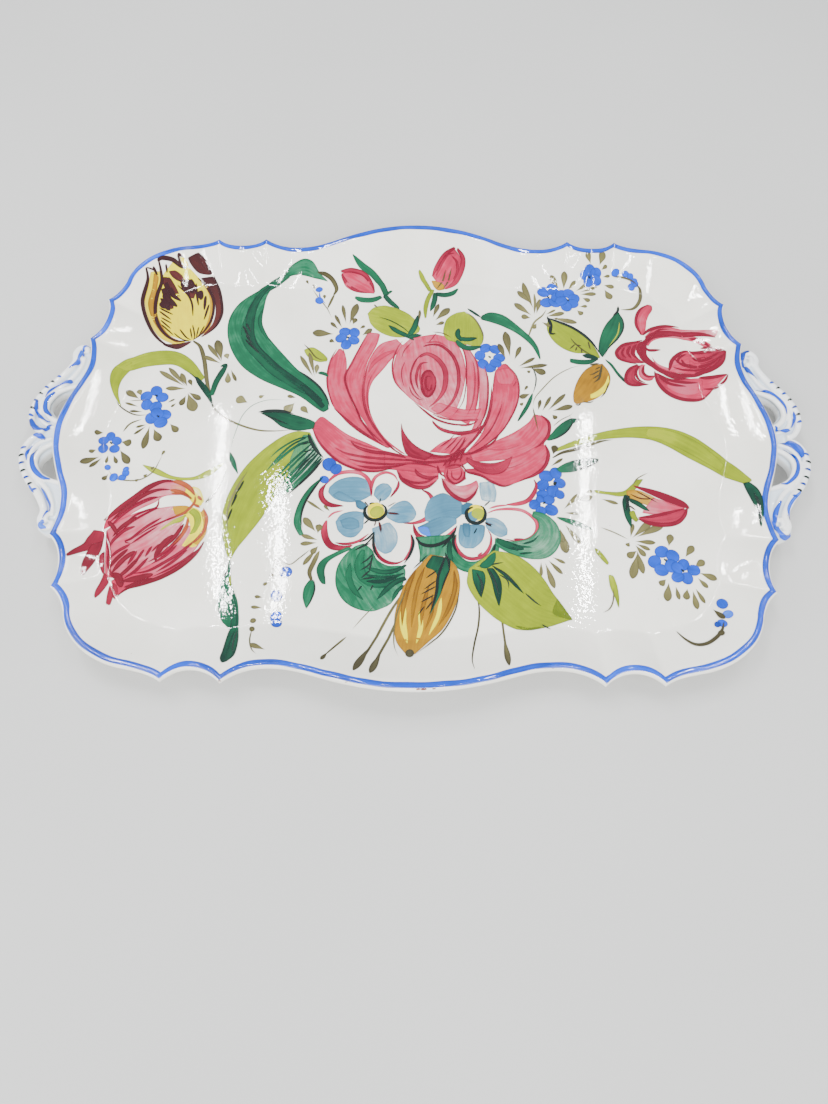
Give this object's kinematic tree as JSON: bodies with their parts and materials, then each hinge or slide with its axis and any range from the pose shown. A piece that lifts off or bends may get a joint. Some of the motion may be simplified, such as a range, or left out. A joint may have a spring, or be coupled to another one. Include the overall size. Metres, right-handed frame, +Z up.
{
  "type": "painted serving platter",
  "caption": "Glazed earthenware serving platter with a lobed lip, a shallow sloping wall, hand-painted flowers, a foot ring and pierced scroll handles.",
  "frame": {"origin": "on the ground, under the middle of the dish", "axes": "+X along the long side towards the right handle, +Y towards the far long side, +Z up"},
  "size_m": [0.454, 0.308, 0.0268],
  "materials": {
    "white_glaze": "gloss",
    "handle_glaze": "gloss",
    "bare_clay": "matte"
  },
  "bodies": {
    "root": {"dish": "white_glaze", "handle_left": "handle_glaze", "handle_right": "handle_glaze", "foot_ring": "bare_clay"}
  },
  "joints": []
}
